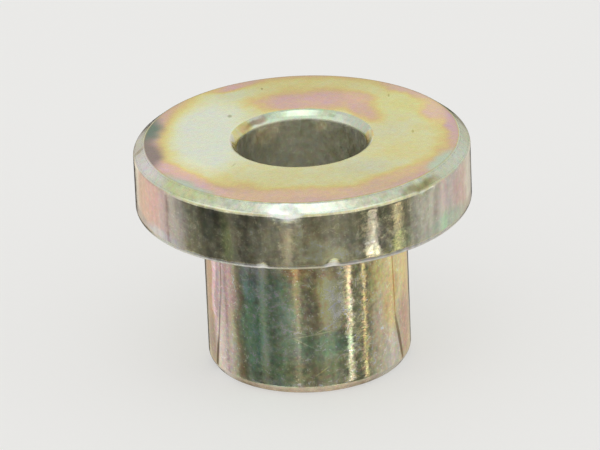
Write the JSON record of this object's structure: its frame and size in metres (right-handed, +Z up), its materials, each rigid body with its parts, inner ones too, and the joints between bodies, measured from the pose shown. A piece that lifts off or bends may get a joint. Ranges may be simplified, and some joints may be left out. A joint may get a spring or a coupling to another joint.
{
  "type": "shoulder spacer",
  "caption": "Turned steel shoulder spacer: a thick round flange with a bevelled rim on a plain barrel, bored right through.",
  "frame": {"origin": "centre of the barrel's end face, the face that the spacer stands on", "axes": "+Z up the bore's axis, from the barrel's end to the flange; X and Y lie in the end face and are free, because the part is round"},
  "size_m": [0.0254, 0.0254, 0.0179],
  "materials": {
    "yellow_zinc": "turned steel with bright yellow chromate zinc plating, lightly iridescent"
  },
  "bodies": {
    "root": {"shoulder_spacer": "yellow_zinc"}
  },
  "joints": []
}
